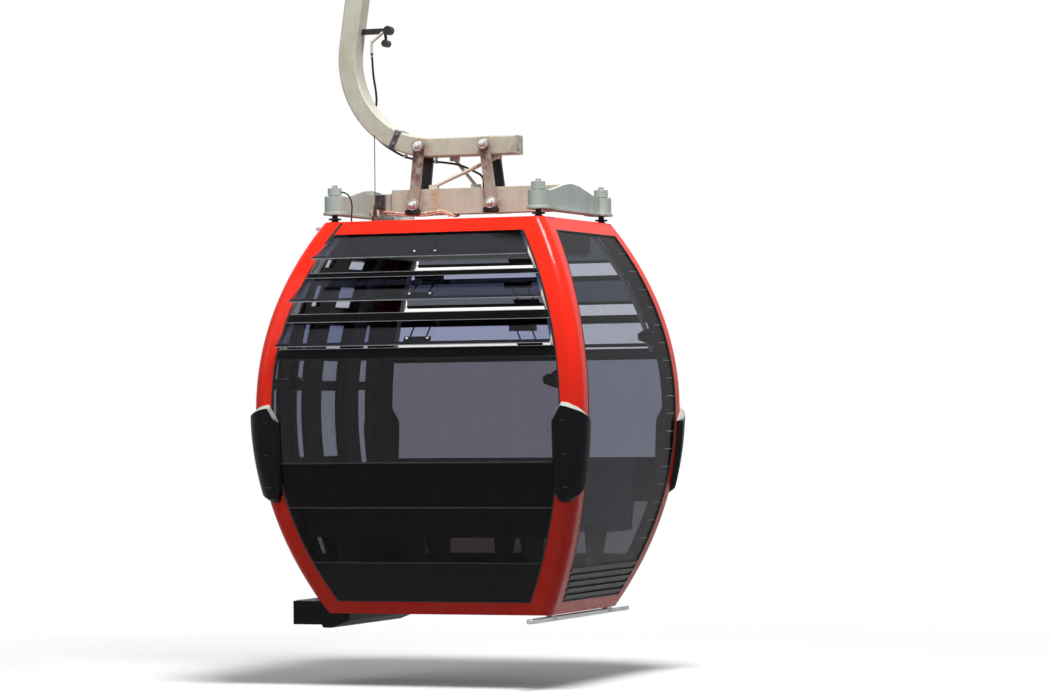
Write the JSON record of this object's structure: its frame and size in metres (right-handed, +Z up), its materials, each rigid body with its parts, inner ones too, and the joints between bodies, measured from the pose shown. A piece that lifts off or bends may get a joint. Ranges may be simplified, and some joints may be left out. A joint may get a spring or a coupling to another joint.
{
  "type": "cable car cabin",
  "caption": "Barrel-shaped cable car cabin with sliding doors, louvred windows, roof carrier, curved hanger arm and a rope grip.",
  "frame": {"origin": "centre of the haul rope in the middle of the grip's jaws", "axes": "+Z up, +Y along the rope and the direction of travel, +X from the hanger arm and door side towards the closed side"},
  "size_m": [2.1028, 1.7866, 5.003],
  "materials": {
    "red_paint": "gloss orange-red paint",
    "black_trim": "satin black",
    "tinted_glass": "dark tinted, gloss",
    "galvanised": "dull galvanised steel with stains",
    "grey_paint": "weathered grey-green paint",
    "rubber_black": "matte",
    "steel": "worn steel",
    "aluminium": "satin",
    "cast_grip": "greased casting",
    "door_frame": "satin black powder coat",
    "bench": "textured",
    "roof_paint": "satin red",
    "headliner": "dark moulded liner",
    "floor": "ribbed mat"
  },
  "bodies": {
    "grip": {"grip_body": "cast_grip", "grip_jaw": "cast_grip", "jaw_pin": "steel", "grip_springs": "steel", "drive_plate": "steel"},
    "cabin": {"hanger_arm": "galvanised", "door_lever": "steel", "door_cable": "rubber_black", "aerial": "rubber_black", "links_front": "galvanised", "links_rear": "galvanised", "brace_rods": "galvanised", "carrier_beam": "galvanised", "carrier_wing_left": "grey_paint", "carrier_wing_right": "grey_paint", "rubber_mounts": "rubber_black", "roof_rail": "red_paint", "floor_rail": "red_paint", "pillar_front_left": "red_paint", "pillar_front_right": "red_paint", "pillar_rear_left": "red_paint", "pillar_rear_right": "red_paint", "roof_panel": "roof_paint", "floor_panel": "floor", "kick_front": "tinted_glass", "kick_rear": "tinted_glass", "low_window_front": "tinted_glass", "low_window_rear": "tinted_glass", "band_front": "black_trim", "band_rear": "black_trim", "main_window_front": "tinted_glass", "main_window_rear": "tinted_glass", "louvre_bars_front": "black_trim", "louvre_bars_rear": "black_trim", "louvres_front": "tinted_glass", "louvres_rear": "tinted_glass", "side_window": "tinted_glass", "side_kick": "black_trim", "door_portal": "door_frame", "door_side_frames": "door_frame", "headliner": "headliner", "door_side_panes": "tinted_glass", "door_side_kicks": "black_trim", "door_sill": "black_trim", "door_rail": "steel", "buffers_front": "rubber_black", "buffers_rear": "rubber_black", "guide_rail": "aluminium", "bench_front": "bench", "bench_rear": "bench"},
    "door_front": {"door_leaf_front": "door_frame", "door_panes_front": "tinted_glass"},
    "door_rear": {"door_leaf_rear": "door_frame", "door_panes_rear": "tinted_glass"},
    "running_wheel_front": {"running_wheel_front": "steel"},
    "running_wheel_rear": {"running_wheel_rear": "steel"},
    "lever_roller": {"lever_roller": "steel"}
  },
  "joints": [
    {"name": "hanger_swing", "type": "hinge", "parent": "grip", "child": "cabin", "pos_m": [-0.2, 0, -0.06], "axis": [1, 0, 0], "range_deg": [-30, 30]},
    {"name": "door_front_slide", "type": "slide", "parent": "cabin", "child": "door_front", "axis": [0, -1, 0], "range_m": [0, 0.33]},
    {"name": "door_rear_slide", "type": "slide", "parent": "cabin", "child": "door_rear", "axis": [0, 1, 0], "range_m": [0, 0.33]},
    {"name": "running_wheel_front_spin", "type": "hinge", "parent": "grip", "child": "running_wheel_front", "pos_m": [-0.172, -0.185, -0.02], "axis": [1, 0, 0], "continuous": true},
    {"name": "running_wheel_rear_spin", "type": "hinge", "parent": "grip", "child": "running_wheel_rear", "pos_m": [-0.172, 0.185, -0.02], "axis": [1, 0, 0], "continuous": true},
    {"name": "lever_roller_spin", "type": "hinge", "parent": "grip", "child": "lever_roller", "pos_m": [-0.223, 0, 0.138], "axis": [1, 0, 0], "continuous": true}
  ],
  "couplings": [
    {"joint": "door_rear_slide", "follows": "door_front_slide", "ratio": 1}
  ]
}
